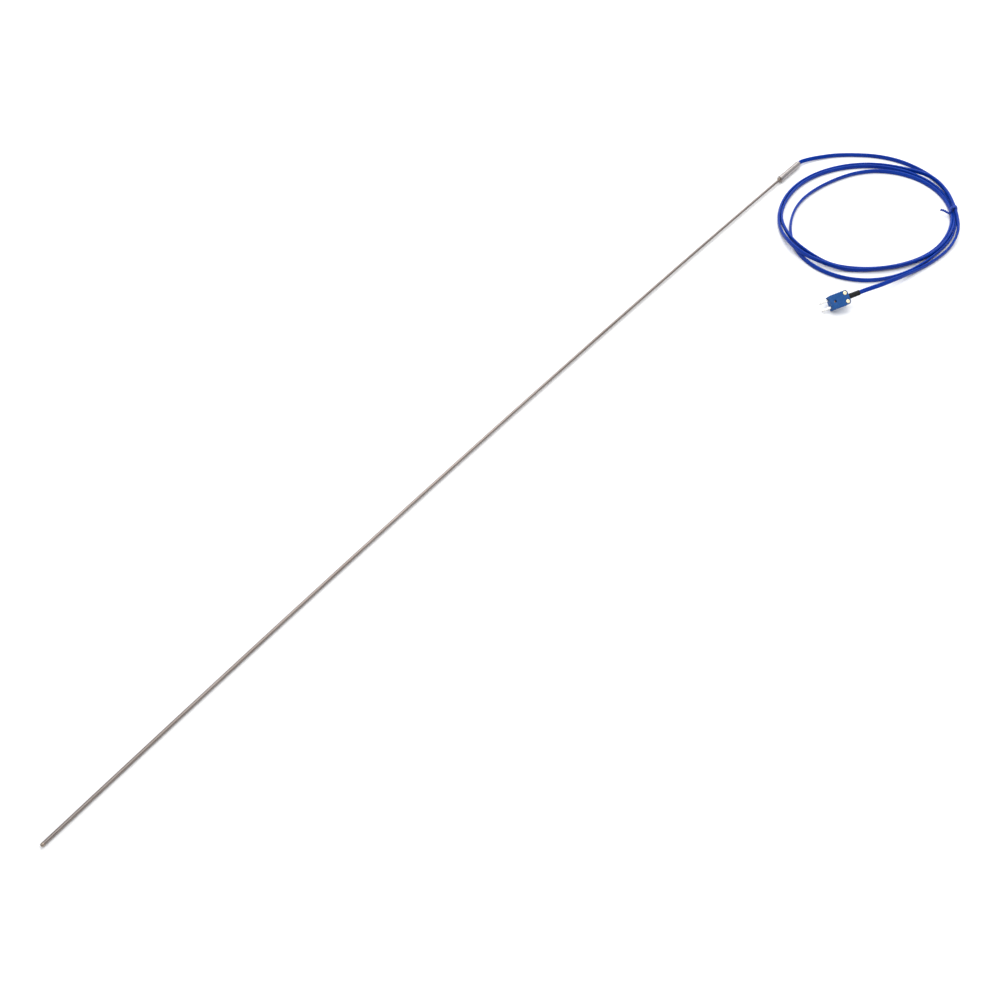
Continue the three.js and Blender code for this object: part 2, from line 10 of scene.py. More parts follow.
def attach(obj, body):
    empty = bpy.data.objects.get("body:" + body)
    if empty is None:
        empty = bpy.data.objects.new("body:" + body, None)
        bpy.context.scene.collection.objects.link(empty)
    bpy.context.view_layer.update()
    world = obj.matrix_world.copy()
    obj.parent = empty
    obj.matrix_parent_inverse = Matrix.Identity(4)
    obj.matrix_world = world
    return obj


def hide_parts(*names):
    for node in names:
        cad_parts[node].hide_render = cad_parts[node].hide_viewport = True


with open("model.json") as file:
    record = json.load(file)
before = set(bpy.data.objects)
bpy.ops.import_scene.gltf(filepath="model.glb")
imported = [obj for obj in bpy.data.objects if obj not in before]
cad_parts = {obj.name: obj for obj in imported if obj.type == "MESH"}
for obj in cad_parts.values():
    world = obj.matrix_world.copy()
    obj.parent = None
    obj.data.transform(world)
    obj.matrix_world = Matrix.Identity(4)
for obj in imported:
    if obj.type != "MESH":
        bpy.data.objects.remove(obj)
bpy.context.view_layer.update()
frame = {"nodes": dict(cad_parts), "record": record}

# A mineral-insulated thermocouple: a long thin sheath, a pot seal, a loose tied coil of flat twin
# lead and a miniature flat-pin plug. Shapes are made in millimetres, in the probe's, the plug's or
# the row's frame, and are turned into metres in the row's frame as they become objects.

MM = 0.001
UP = Vector((0, 0, 1))

# ---------------------------------------------------------------- sizes, in millimetres

SHEATH_LENGTH = 1000
SHEATH_RADIUS = 1.5
SHEATH_BOW = 6
SHEATH_INSIDE_POT = 10
TIP_LENGTH = 2
NOSE_RADIUS = 1.1
BOW_RADIUS = SHEATH_LENGTH**2 / (8 * SHEATH_BOW)

POT_LENGTH = 40
POT_RADIUS = 3.4
POT_BORE = 2.8
COLLAR_RADIUS = 3.8
COLLAR_LENGTH = 3
FERRULE_RADIUS = 1.95
FERRULE_LENGTH = 2.6
POT_MOUNT_HEIGHT = 2.7  # of its front face's mount, above the axis

LEAD_WIDTH = 4.6
LEAD_THICKNESS = 2.7
LEAD_WAIST = 0.12  # how deep the groove along each flat side is
LEAD_CENTRE = LEAD_WIDTH / 2 + 0.05  # height of its centre where it lies on its edge

COIL_CENTRE = Vector((487, -101))
COIL_SPACING = 2.75  # between turns that touch
ROUTE_STEP = 10  # turn angle between two points of the coil's route
RING_STEP = 1.5  # between two rings of the lead's mesh
TIE_PLACE = Vector((555.8, -166.3))
TIE_HEADING = math.radians(-145)
TIE_STRIP_WIDTH = 3.2
TIE_STRIP_THICKNESS = 0.5
TIE_WRAPS = 2
TIE_SLACK = 1.4  # how much closer it sits on the coil's outer side
TIE_TWISTS = 3.5
TIE_TAIL_WIDTH = 2.7
TIE_TAIL_THICKNESS = 1.6
TIE_TAIL = [  # in the tie's own frame
    (1.2, -4.2, 5.6),
    (4.2, -5.0, 5.2),
    (5.6, -6.8, 5.3),
    (4.6, -9.4, 5.9),
    (2.6, -11.9, 6.1),
    (0.6, -15.0, 5.4),
]

PLUG_LENGTH = 20.5
PLUG_FRONT_HALF = 7
PLUG_HALF = 7.5
PLUG_HALF_THICKNESS = 4
SPLIT_HALF = 0.15
REAR_CORNER_RADIUS = 3
GRIP_START = 3
GRIP_PITCH = 2.9
GRIP_COUNT = 5
GRIP_DEPTH = 0.45
GRIP_WIDTH = 1.4
PIN_SPACING = 7.9
PIN_THICKNESS = 0.8
PIN_REACH = 10.5
PIN_WIDTHS = {"positive": 2.4, "negative": 3.2}
PIN_SIDES = {"positive": -1, "negative": 1}
TERMINAL_X = PLUG_LENGTH - REAR_CORNER_RADIUS
TERMINAL_Y = PLUG_HALF - REAR_CORNER_RADIUS
TERMINAL_HEAD = 2.1
TERMINAL_SHANK = 1.1
HEAD_BOTTOM = 1.9
HEAD_TOP = 4.2
CROSS_REACH = 0.9
CROSS_HALF = 0.22
CROSS_DEPTH = 0.8
COVER_SCREW_X = 5.2
COVER_RECESS_RADIUS = 1.4
COVER_RECESS_FLOOR = 1.1
COVER_HOLE_RADIUS = 1
NUT_ROOM_RADIUS = 1.9
NUT_ROOM_TOP = -1.4
PIN_PLATE_HALF = 1.9
PIN_ROOM = 0.2
HEAD_ROOM = 0.3
PLUG_MOUNT_HEIGHT = 2.5  # of its front face's mount, above the middle
SHELL_EDGE = 0.22
PIN_EDGE = 0.14
SCREW_EDGE = 0.05
SLEEVE_WIDTH = 5.8
SLEEVE_THICKNESS = 3.9
SLEEVE_START = 19.7
SLEEVE_END = 33.3

# The lead's loose stretches, as in the CAD model.
PROBE_RUN = [
    (534, 7.6, 3.5),
    (542.8, 3.3, 3.1),
    (551.9, -2.3, 2.8),
    (562.6, -9.7, 2.5),
    (571.4, -17.7, 2.4),
    (579.5, -26.5, 2.3),
    (586.7, -35.6, 2.3),
    (593.2, -45, 2.3),
    (598.5, -55.1, 2.3),
    (602.5, -66, 2.3),
    (604.9, -77.6, 2.3),
    (605.4, -90.1, 2.3),
]
PLUG_RUN = [
    (406.8, -173.8, 6.9),
    (397.3, -171.5, 8.6),
    (387.4, -169.3, 10.4),
    (377.8, -166.8, 12.1),
    (369.2, -164.1, 13.4),
]

# The coil's turns, clockwise from above: the lead's distance from the coil's centre every 30
# degrees, from the tie round to the tie. The first turn begins and the last one ends part way.
TIE_ANGLE = 43.5
FIRST_KNOT = 38
KNOT_STEP = 30
COIL_ENTRY = [(8, 114.8), (22, 108.6)]
COIL_TURNS = [
    [99.4, 88.7, 84.6, 94.3, 110.3, 111.0, 92.6, 78.2, 71.8, 76.8, 91.5, 99.9],
    [93.9, 83.3, 79.2, 81.4, 91.4, 103.1, 101.1, 92.4, 89.3, 92.0, 100.0, 104.3],
    [96.6, 86.0, 81.9, 84.2, 94.2, 109.0, 104.3, 95.7, 92.1, 95.2, 104.2, 108.6],
]
COIL_EXIT = [(1118, 96.6), (1131, 93.4), (1148, 92.4), (1178, 89.6), (1197.8, 93.2), (1208.4, 99.0)]

# Where the lead climbs over its other turns: first and last turn angle on top, and the rise.
COIL_HUMPS = [
    (558, 568, 4.7),
    (907, 916, 4.7),
    (790, 860, 1.8),
    (1096, 1140, 4.7),
]
HUMP_SLOPE = 30  # turn angle that a climb or a descent takes
STRIP_SLOPE = 14  # and that the small step over the tie takes
PLUG_CLIMB = 30  # and that the last climb to the plug takes

PLUG_INNER_NODES = [
    "cover_nut",
    "clamp_washer_positive",
    "clamp_washer_negative",
    "plug_core_positive",
    "plug_core_negative",
    "jacket_in_plug",
]


# ---------------------------------------------------------------- frames

def frame_from(x_axis, y_axis, z_axis, origin):
    """A frame with millimetre coordinates, from its axes and its origin in metres."""
    axes = Matrix((x_axis, y_axis, z_axis)).transposed().to_4x4()
    return Matrix.Translation(origin) @ axes @ Matrix.Scale(MM, 4)


def mount(name):
    found = next(m for m in frame["record"]["mounts"] if m["name"] == name)
    return Vector(found["pos_m"]), Vector(found["axis"])


def probe_frame():
    """X from the tip to the lead, Z up, and the origin on the axis at the pot's front face."""
    place, outwards = mount("pot_front_face")
    x_axis = -outwards.normalized()
    y_axis = Vector((0, 1, 0))
    z_axis = x_axis.cross(y_axis)
    return frame_from(x_axis, y_axis, z_axis, place - z_axis * POT_MOUNT_HEIGHT * MM)


def plug_frame():
    """X from the front face to the lead, Z out of the cover, and the origin on the front face."""
    place, outwards = mount("plug_front_face")
    z_axis = mount("pin_positive_face")[1].normalized()
    x_axis = -outwards.normalized()
    y_axis = z_axis.cross(x_axis)
    return frame_from(x_axis, y_axis, z_axis, place - z_axis * PLUG_MOUNT_HEIGHT * MM)


PROBE = probe_frame()
PLUG = plug_frame()
ROW = Matrix.Scale(MM, 4)


# ---------------------------------------------------------------- curves and outlines

def cubic(knots, values, at):
    """Values at some places on the smooth curve that passes through each knot's values."""
    knots = np.asarray(knots, float)
    values = np.asarray(values, float)
    at = np.asarray(at, float)
    count = len(knots)
    gaps = np.diff(knots)
    slopes = np.diff(values, axis=0) / gaps[:, None]
    matrix = np.eye(count)
    change = np.zeros_like(values)
    for i in range(1, count - 1):
        matrix[i, i - 1:i + 2] = gaps[i - 1], 2 * (gaps[i - 1] + gaps[i]), gaps[i]
        change[i] = 6 * (slopes[i] - slopes[i - 1])
    bends = np.linalg.solve(matrix, change)
    i = np.clip(np.searchsorted(knots, at) - 1, 0, count - 2)
    after = ((at - knots[i]) / gaps[i])[:, None]
    before = 1 - after
    bend = (before**3 - before) * bends[i] + (after**3 - after) * bends[i + 1]
    return before * values[i] + after * values[i + 1] + bend * gaps[i][:, None] ** 2 / 6


def smooth_line(points, step):
    """Points about one step apart on a smooth line through some points."""
    points = np.asarray([tuple(p) for p in points], float)
    reach = np.concatenate([[0], np.cumsum(np.linalg.norm(np.diff(points, axis=0), axis=1))])
    count = int(reach[-1] / step)
    return [Vector(p) for p in cubic(reach, points, np.linspace(0, reach[-1], count + 1))]


def ease(share):
    """0 to 1 as share goes from 0 to 1, with a soft start and a soft end."""
    share = min(max(share, 0), 1)
    return share**3 * (10 - 15 * share + 6 * share**2)


def rounded(points, radii, steps=4):
    """An outline or profile whose corners are eased; a radius of 0 keeps its corner sharp."""
    eased = []
    for i, (corner, radius) in enumerate(zip(points, radii)):
        corner = Vector(corner)
        if not radius:
            eased.append(corner)
            continue
        before = Vector(points[i - 1])
        after = Vector(points[(i + 1) % len(points)])
        start = corner + (before - corner).normalized() * radius
        end = corner + (after - corner).normalized() * radius
        for step in range(steps + 1):
            share = step / steps
            eased.append(start.lerp(corner, share).lerp(corner.lerp(end, share), share))
    return eased


def arc(x, y, radius, start, end, steps):
    """Points on a circle's arc, with angles in degrees."""
    points = []
    for step in range(steps + 1):
        angle = math.radians(start + (end - start) * step / steps)
        points.append(Vector((x + radius * math.cos(angle), y + radius * math.sin(angle))))
    return points


def flat_oval(width, thickness, steps=7, waist=0.0):
    """A section with round ends, its long side along the second axis, pinched by its waist."""
    radius = thickness / 2
    reach = width / 2 - radius
    points = arc(0, reach, radius, 0, 180, steps)
    points.append(Vector((-radius + waist, 0)))
    points += arc(0, -reach, radius, 180, 360, steps)
    points.append(Vector((radius - waist, 0)))
    return points


# ---------------------------------------------------------------- meshes

def object_from(mesh_data, name, place, smooth_angle=35):
    """A mesh object from a bmesh in millimetres, put in place and shaded smooth between edges."""
    bmesh.ops.recalc_face_normals(mesh_data, faces=mesh_data.faces)
    mesh = bpy.data.meshes.new(name)
    mesh_data.to_mesh(mesh)
    mesh_data.free()
    mesh.transform(place)
    mesh.shade_smooth()
    mesh.set_sharp_from_angle(angle=math.radians(smooth_angle))
    piece = bpy.data.objects.new(name, mesh)
    bpy.context.scene.collection.objects.link(piece)
    return piece


def skin(rings, closed_loop=False):
    """A bmesh skin over rings of points, closed at its ends, with UVs in metres."""
    made = bmesh.new()
    uv = made.loops.layers.uv.new("UVMap")
    corners = [[made.verts.new(p) for p in ring] for ring in rings]
    pairs = list(zip(corners, corners[1:]))
    if closed_loop:
        pairs.append((corners[-1], corners[0]))
    along = 0.0
    for near, far in pairs:
        step = (far[0].co - near[0].co).length * MM
        around = 0.0
        for i, vert in enumerate(near):
            j = (i + 1) % len(near)
            side = (near[j].co - vert.co).length * MM
            face = made.faces.new((vert, near[j], far[j], far[i]))
            places = ((around, along), (around + side, along),
                      (around + side, along + step), (around, along + step))
            for loop, place in zip(face.loops, places):
                loop[uv].uv = place
            around += side
        along += step
    if not closed_loop:
        made.faces.new(reversed(corners[0]))
        made.faces.new(corners[-1])
    return made


def sweep(line, section, sides):
    """Rings of a section along a line; sides gives each ring's second axis."""
    rings = []
    for i, centre in enumerate(line):
        tangent = (line[min(i + 1, len(line) - 1)] - line[max(i - 1, 0)]).normalized()
        second = sides[i] - tangent * sides[i].dot(tangent)
        second.normalize()
        first = second.cross(tangent)
        rings.append([centre + first * p.x + second * p.y for p in section])
    return rings


def lathe(name, profile, place, sides=48):
    """A closed profile of (along, radius) points turned about X."""
    rings = []
    for side in range(sides):
        angle = 2 * math.pi * side / sides
        rings.append([Vector((along, radius * math.cos(angle), radius * math.sin(angle)))
                      for along, radius in profile])
    made = skin(rings, closed_loop=True)
    bmesh.ops.remove_doubles(made, verts=made.verts, dist=1e-4)
    return object_from(made, name, place)


def turned_solid(profile, x, y, sides=48):
    """A bmesh of (height, radius) points turned about an upright axis, with flat ends."""
    rings = []
    for height, radius in profile:
        rings.append([Vector((p.x, p.y, height)) for p in arc(x, y, radius, 0, 360, sides)[:-1]])
    return skin(rings)


def prism(outline, bottom, top):
    """A bmesh of an outline pulled from one height to another."""
    made = bmesh.new()
    low = [made.verts.new((p.x, p.y, bottom)) for p in outline]
    high = [made.verts.new((p.x, p.y, top)) for p in outline]
    for i in range(len(outline)):
        j = (i + 1) % len(outline)
        made.faces.new((low[i], low[j], high[j], high[i]))
    made.faces.new(reversed(low))
    made.faces.new(high)
    bmesh.ops.recalc_face_normals(made, faces=made.faces)
    return made


def block(x0, x1, y0, y1, z0, z1):
    corners = [Vector(c) for c in ((x0, y0), (x1, y0), (x1, y1), (x0, y1))]
    return prism(corners, z0, z1)


def post(x, y, radius, bottom, top):
    return prism(arc(x, y, radius, 0, 360, 40)[:-1], bottom, top)


def scratch_object(made, name):
    mesh = bpy.data.meshes.new(name)
    made.to_mesh(mesh)
    made.free()
    piece = bpy.data.objects.new(name, mesh)
    bpy.context.scene.collection.objects.link(piece)
    return piece


def carved(name, solid, tools, place, edge):
    """A solid with some tools' shapes cut out of it and its edges eased, put in place."""
    piece = scratch_object(solid, name)
    cutters = [scratch_object(tool, "cutter") for tool in tools]
    for cutter in cutters:
        cutting = piece.modifiers.new("cut", "BOOLEAN")
        cutting.object = cutter
        cutting.operation = "DIFFERENCE"
        cutting.solver = "EXACT"
    easing = piece.modifiers.new("ease", "BEVEL")
    easing.width = edge
    easing.segments = 2
    easing.limit_method = "ANGLE"
    easing.angle_limit = math.radians(32)
    depsgraph = bpy.context.evaluated_depsgraph_get()
    mesh = bpy.data.meshes.new_from_object(piece.evaluated_get(depsgraph))
    for spare in [piece, *cutters]:
        bpy.data.objects.remove(spare)
    mesh.transform(place)
    mesh.shade_smooth()
    mesh.set_sharp_from_angle(angle=math.radians(35))
    finished = bpy.data.objects.new(name, mesh)
    bpy.context.scene.collection.objects.link(finished)
    return finished


# ---------------------------------------------------------------- materials

class Look:
    """A Principled material with procedural layers. Sizes are in metres."""

    def __init__(self, name, colour, roughness, **sockets):
        self.material = bpy.data.materials.new(name)
        self.material.use_nodes = True
        self.tree = self.material.node_tree
        self.shader = self.tree.nodes["Principled BSDF"]
        self.shader.inputs["Base Color"].default_value = (*colour, 1)
        self.shader.inputs["Roughness"].default_value = roughness
        for socket, value in sockets.items():
            self.shader.inputs[socket.replace("_", " ")].default_value = value
        self.normal = None

    def node(self, kind, **settings):
        made = self.tree.nodes.new(kind)
        for name, value in settings.items():
            setattr(made, name, value)
        return made

    def link(self, source, target):
        self.tree.links.new(source, target)

    def grain(self, size, stretch=(1, 1, 1), detail=3, space="Object"):
        """Noise with grains of a size, longer along the axes whose stretch is large."""
        place = self.node("ShaderNodeTexCoord")
        scaling = self.node("ShaderNodeMapping")
        scaling.inputs["Scale"].default_value = [1 / (size * s) for s in stretch]
        noise = self.node("ShaderNodeTexNoise")
        noise.inputs["Scale"].default_value = 1
        noise.inputs["Detail"].default_value = detail
        self.link(place.outputs[space], scaling.inputs["Vector"])
        self.link(scaling.outputs["Vector"], noise.inputs["Vector"])
        return noise.outputs["Fac"]

    def ranged(self, factor, low, high):
        """The middle of a noise's range, where most of it is, spread from low to high."""
        ranging = self.node("ShaderNodeMapRange")
        ranging.inputs["From Min"].default_value = 0.3
        ranging.inputs["From Max"].default_value = 0.7
        ranging.inputs["To Min"].default_value = low
        ranging.inputs["To Max"].default_value = high
        self.link(factor, ranging.inputs["Value"])
        return ranging.outputs["Result"]

    def rough(self, factor, low, high):
        self.link(self.ranged(factor, low, high), self.shader.inputs["Roughness"])
        return self

    def tint(self, factor, first, second):
        """Colour that goes from first to second as the factor rises."""
        mix = self.node("ShaderNodeMix", data_type="RGBA")
        mix.inputs["A"].default_value = (*first, 1)
        mix.inputs["B"].default_value = (*second, 1)
        self.link(self.ranged(factor, 0, 1), mix.inputs["Factor"])
        self.link(mix.outputs["Result"], self.shader.inputs["Base Color"])
        return self

    def relief(self, factor, depth):
        """Bump of a depth, on top of any that is there already."""
        bump = self.node("ShaderNodeBump")
        bump.inputs["Strength"].default_value = 1
        bump.inputs["Distance"].default_value = depth
        self.link(factor, bump.inputs["Height"])
        if self.normal:
            self.link(self.normal, bump.inputs["Normal"])
        self.normal = bump.outputs["Normal"]
        self.link(self.normal, self.shader.inputs["Normal"])
        return self


def drawn_steel():
    """The sheath: drawn tube, with fine lines along it and a warm haze."""
    look = Look("drawn steel", (0.27, 0.23, 0.21), 0.3, Metallic=1)
    look.tint(look.grain(0.03, (3, 1, 1)), (0.29, 0.25, 0.23), (0.23, 0.19, 0.17))
    look.rough(look.grain(0.0006, (40, 1, 1)), 0.22, 0.4)
    return look.relief(look.grain(0.00025, (60, 1, 1)), 0.000012).material


def turned_steel():
    """The pot seal: turned on a lathe, with fine grooves round it and faint handling marks."""
    look = Look("turned steel", (0.43, 0.395, 0.38), 0.3, Metallic=1)
    look.tint(look.grain(0.008), (0.44, 0.405, 0.39), (0.37, 0.335, 0.32))
    look.rough(look.grain(0.0015, (1, 6, 6)), 0.24, 0.42)
    look.relief(look.grain(0.00014, (1, 40, 40), 1), 0.000014)
    return look.relief(look.grain(0.001, detail=5), 0.000008).material


def heated_steel():
    """Steel beside a weld or braze: straw and brown tints."""
    look = Look("heated steel", (0.4, 0.33, 0.27), 0.35, Metallic=1)
    look.tint(look.grain(0.002), (0.44, 0.38, 0.32), (0.3, 0.22, 0.17))
    look.rough(look.grain(0.0008), 0.28, 0.5)
    return look.relief(look.grain(0.0002, (1, 30, 30), 1), 0.000015).material


def blue_jacket():
    """The lead: glossy extruded PVC with faint lines along it."""
    look = Look("blue jacket", (0.001, 0.032, 0.3), 0.3, Specular_IOR_Level=0.12)
    look.tint(look.grain(0.02), (0.001, 0.029, 0.28), (0.001, 0.038, 0.32))
    look.rough(look.grain(0.0012, (1, 12, 1), space="UV"), 0.24, 0.36)
    look.relief(look.grain(0.0005, (1, 80, 1), 2, "UV"), 0.00001)
    return look.relief(look.grain(0.004, detail=2), 0.00004).material


def white_insulation():
    look = Look("white insulation", (0.8, 0.8, 0.82), 0.45)
    look.tint(look.grain(0.003), (0.82, 0.82, 0.83), (0.74, 0.74, 0.76))
    return look.relief(look.grain(0.0003), 0.00001).material


def tie_plastic():
    """The twist tie: a softer, slightly wrinkled blue strip."""
    look = Look("tie plastic", (0.002, 0.035, 0.3), 0.42, Specular_IOR_Level=0.3)
    look.tint(look.grain(0.002), (0.002, 0.03, 0.28), (0.005, 0.045, 0.34))
    look.rough(look.grain(0.0008), 0.34, 0.52)
    return look.relief(look.grain(0.0005, detail=4), 0.00003).material


def moulded_blue():
    """The plug: a fine spark-eroded texture, rubbed smoother in patches."""
    look = Look("moulded blue", (0.009, 0.08, 0.28), 0.5, Specular_IOR_Level=0.25)
    look.tint(look.grain(0.0012, detail=6), (0.007, 0.072, 0.26), (0.012, 0.092, 0.31))
    look.rough(look.grain(0.004, detail=4), 0.42, 0.6)
    look.relief(look.grain(0.00016, detail=2), 0.000028)
    return look.relief(look.grain(0.0006, detail=3), 0.00002).material


def black_rubber():
    look = Look("black rubber", (0.005, 0.005, 0.006), 0.35, Specular_IOR_Level=0.18)
    look.tint(look.grain(0.0015), (0.005, 0.005, 0.006), (0.01, 0.01, 0.011))
    look.rough(look.grain(0.001), 0.36, 0.52)
    return look.relief(look.grain(0.0003, (1, 1, 1), 4), 0.000015).material


def bright_tin():
    """The pins: bright plating with fine lines from their pressing."""
    look = Look("bright tin", (0.7, 0.69, 0.67), 0.2, Metallic=1)
    look.tint(look.grain(0.0015), (0.72, 0.71, 0.69), (0.62, 0.61, 0.59))
    look.rough(look.grain(0.0005, (8, 1, 1)), 0.14, 0.32)
    return look.relief(look.grain(0.0002, (12, 1, 1)), 0.000008).material


def pale_brass():
    """The screws: pale plated brass, with turning marks."""
    look = Look("pale brass", (0.86, 0.76, 0.54), 0.25, Metallic=1)
    look.tint(look.grain(0.001), (0.88, 0.79, 0.58), (0.8, 0.68, 0.44))
    look.rough(look.grain(0.0004), 0.2, 0.38)
    return look.relief(look.grain(0.00012), 0.000008).material


def bare_metal(name, light, dark):
    """A drawn wire's own metal, a little dulled."""
    look = Look(name, light, 0.3, Metallic=1)
    look.tint(look.grain(0.0008), light, dark)
    return look.rough(look.grain(0.0004), 0.25, 0.45).material


def cream_resin():
    look = Look("cream resin", (0.76, 0.68, 0.4), 0.4, Specular_IOR_Level=0.5)
    look.tint(look.grain(0.0012), (0.78, 0.71, 0.45), (0.68, 0.56, 0.28))
    look.rough(look.grain(0.0007), 0.25, 0.5)
    return look.relief(look.grain(0.0004), 0.00003).material


def pressed_powder():
    look = Look("pressed powder", (0.8, 0.78, 0.72), 0.95)
    look.tint(look.grain(0.0004, detail=6), (0.84, 0.82, 0.77), (0.7, 0.68, 0.61))
    return look.relief(look.grain(0.0001, detail=6), 0.00002).material


def glass_weave():
    """Woven glass sleeving."""
    look = Look("glass weave", (0.85, 0.83, 0.77), 0.8)
    look.tint(look.grain(0.00025, (1, 4, 1)), (0.88, 0.86, 0.81), (0.74, 0.72, 0.64))
    look.relief(look.grain(0.0003, (1, 5, 1), 1), 0.00005)
    return look.relief(look.grain(0.0003, (5, 1, 5), 1), 0.00005).material


def pale_floor():
    look = Look("pale floor", (0.93, 0.93, 0.93), 0.9, Specular_IOR_Level=0.1)
    look.tint(look.grain(0.6, detail=2), (0.94, 0.94, 0.94), (0.92, 0.92, 0.92))
    return look.material


LOOKS = {
    "steel": drawn_steel(),
    "mineral": pressed_powder(),
    "copper": bare_metal("copper", (0.7, 0.38, 0.22), (0.5, 0.24, 0.13)),
    "constantan": bare_metal("constantan", (0.6, 0.56, 0.5), (0.45, 0.41, 0.36)),
    "brass": pale_brass(),
    "tin_plate": bright_tin(),
    "epoxy": cream_resin(),
    "glass_fibre": glass_weave(),
    "pvc_blue": blue_jacket(),
    "pvc_white": white_insulation(),
    "moulding_blue": moulded_blue(),
    "rubber_black": black_rubber(),
}
TURNED_STEEL = turned_steel()
HEATED_STEEL = heated_steel()
TIE_PLASTIC = tie_plastic()
# Brass painted dark brown: painted shade of the deep cover hole that the cover screw sits in, not real
# ageing.
RECESS_SHADE_BRASS = bare_metal("brass darkened as painted recess shade", (0.34, 0.2, 0.1), (0.18, 0.09, 0.045))


def settle(piece, body, slot, nodes, material=None):
    """Gives a piece its finish and the body it moves with, and hides the CAD nodes that it stands for.
    """
    piece.data.materials.clear()
    piece.data.materials.append(material or LOOKS[slot])
    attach(piece, body)
    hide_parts(*nodes)
    return piece


# ---------------------------------------------------------------- camera

def make_camera():
    camera = bpy.data.objects.new("camera", bpy.data.cameras.new("camera"))
    camera.data.lens = 37.94
    camera.data.sensor_width = 36
    camera.data.clip_start = 0.01
    camera.location = (-0.50815, -0.42604, 0.726)
    camera.rotation_euler = [math.radians(angle) for angle in (38.1, 0, -48.93)]
    bpy.context.scene.collection.objects.link(camera)
    bpy.context.scene.camera = camera


# ---------------------------------------------------------------- lead

def coil_knots():
    """The turn angle and distance from the centre at each knot of the coil."""
    start = Vector(PROBE_RUN[-1][:2]) - COIL_CENTRE
    end = Vector(PLUG_RUN[0][:2]) - COIL_CENTRE
    knots = [(-math.degrees(math.atan2(start.y, start.x)), start.length), *COIL_ENTRY]
    for turn, radii in enumerate(COIL_TURNS):
        for step, radius in enumerate(radii):
            knots.append((FIRST_KNOT + 360 * turn + KNOT_STEP * step, radius))
    end_angle = 1080 - math.degrees(math.atan2(end.y, end.x))
    knots += [*COIL_EXIT, (end_angle, end.length)]
    return knots


def coil_height(angle, end_angle):
    """The lead's height at a turn angle: on its edge, over other turns, or rising to the plug."""
    lift = 0.0
    for first, last, rise in COIL_HUMPS:
        beyond = max(first - angle, angle - last, 0)
        lift = max(lift, rise * (1 - ease(beyond / HUMP_SLOPE)))
    from_tie = abs((angle - TIE_ANGLE + 180) % 360 - 180)
    over_strip = TIE_STRIP_THICKNESS * (1 - ease(from_tie / STRIP_SLOPE))
    climbed = max(0, (angle - end_angle) / PLUG_CLIMB + 1)
    climb = (PLUG_RUN[0][2] - LEAD_CENTRE) * climbed**2
    return LEAD_CENTRE + lift + over_strip + climb


def coil_points():
    """The coil's route, without its two ends."""
    angles, radii = zip(*coil_knots())
    count = int((angles[-1] - angles[0]) / ROUTE_STEP)
    turn_angles = np.linspace(angles[0], angles[-1], count + 1)[1:-1]
    distances = cubic(angles, np.array(radii)[:, None], turn_angles)[:, 0]
    points = []
    for angle, distance in zip(turn_angles, distances):
        turn = math.radians(angle)
        x = COIL_CENTRE.x + distance * math.cos(turn)
        y = COIL_CENTRE.y - distance * math.sin(turn)
        points.append((x, y, coil_height(angle, angles[-1])))
    return points


def lead_line():
    """The lead's whole centre line, from the pot seal to the end of the plug's sleeve."""
    to_mm = ROW.inverted()
    leaving = [to_mm @ (PROBE @ Vector((POT_LENGTH + reach, 0, 0))) for reach in (0.05, 4)]
    entering = [to_mm @ (PLUG @ Vector((SLEEVE_END + reach, 0, 0))) for reach in (6, 0.05)]
    route = [*leaving, *PROBE_RUN, *coil_points(), *PLUG_RUN, *entering]
    return smooth_line(route, RING_STEP)


def lead_sides(line):
    """Each ring's wide direction: leaning at the pot, then upright, then rolling into the plug's."""
    pot_side = Vector((0.2, 0.5, 0.84))
    leaning = 60  # rings
    plug_side = (PLUG.to_3x3() @ Vector((0, 1, 0))).normalized()
    rolling = 70  # rings
    sides = []
    for i in range(len(line)):
        upright = pot_side.lerp(UP, ease(i / leaning))
        share = ease((i - len(line) + rolling) / (rolling - 8))
        sides.append(upright.lerp(plug_side, share).normalized())
    return sides


def make_lead():
    line = lead_line()
    section = flat_oval(LEAD_WIDTH, LEAD_THICKNESS, waist=LEAD_WAIST)
    lead = object_from(skin(sweep(line, section, lead_sides(line))), "lead", ROW, 50)
    settle(lead, "thermocouple", "pvc_blue", ["lead_from_pot", "lead_coil", "lead_to_plug"])


# ---------------------------------------------------------------- probe

def sheath_point(along):
    """The bowed centre line, at a distance from the pot's front face that is negative outside."""
    if along >= 0:
        return Vector((along, 0, 0))
    turn = along / BOW_RADIUS
    return Vector((BOW_RADIUS * math.sin(turn), BOW_RADIUS * (math.cos(turn) - 1), 0))


def make_sheath():
    start = TIP_LENGTH + 0.1 - SHEATH_LENGTH
    steps = 160
    line = [sheath_point(start * (1 - step / steps)) for step in range(steps + 1)]
    line.append(Vector((SHEATH_INSIDE_POT, 0, 0)))
    section = arc(0, 0, SHEATH_RADIUS, 0, 360, 28)[:-1]
    sheath = object_from(skin(sweep(line, section, [UP] * len(line))), "sheath_tube", PROBE)
    settle(sheath, "thermocouple", "steel", ["sheath"])


def make_tip():
    """The rounded end, with the bead of the weld that closes the sheath."""
    nose = arc(NOSE_RADIUS, SHEATH_RADIUS - NOSE_RADIUS, NOSE_RADIUS, 180, 90, 8)
    bead = [(1.5, SHEATH_RADIUS), (1.65, 1.53), (1.9, 1.56), (2.2, 1.55), (2.45, 1.51), (2.55, 1.44)]
    plug_inside = [(2.55, 1.1), (3.5, 1.1), (3.5, 0)]
    profile = [(0, 0), *[(p.x, p.y) for p in nose], *bead, *plug_inside]
    turning = Matrix.Rotation(SHEATH_LENGTH / BOW_RADIUS, 4, "Z")
    place = PROBE @ Matrix.Translation(sheath_point(-SHEATH_LENGTH)) @ turning
    tip = lathe("rounded_tip", profile, place, 32)
    settle(tip, "thermocouple", "steel", ["tip_cap"], HEATED_STEEL)


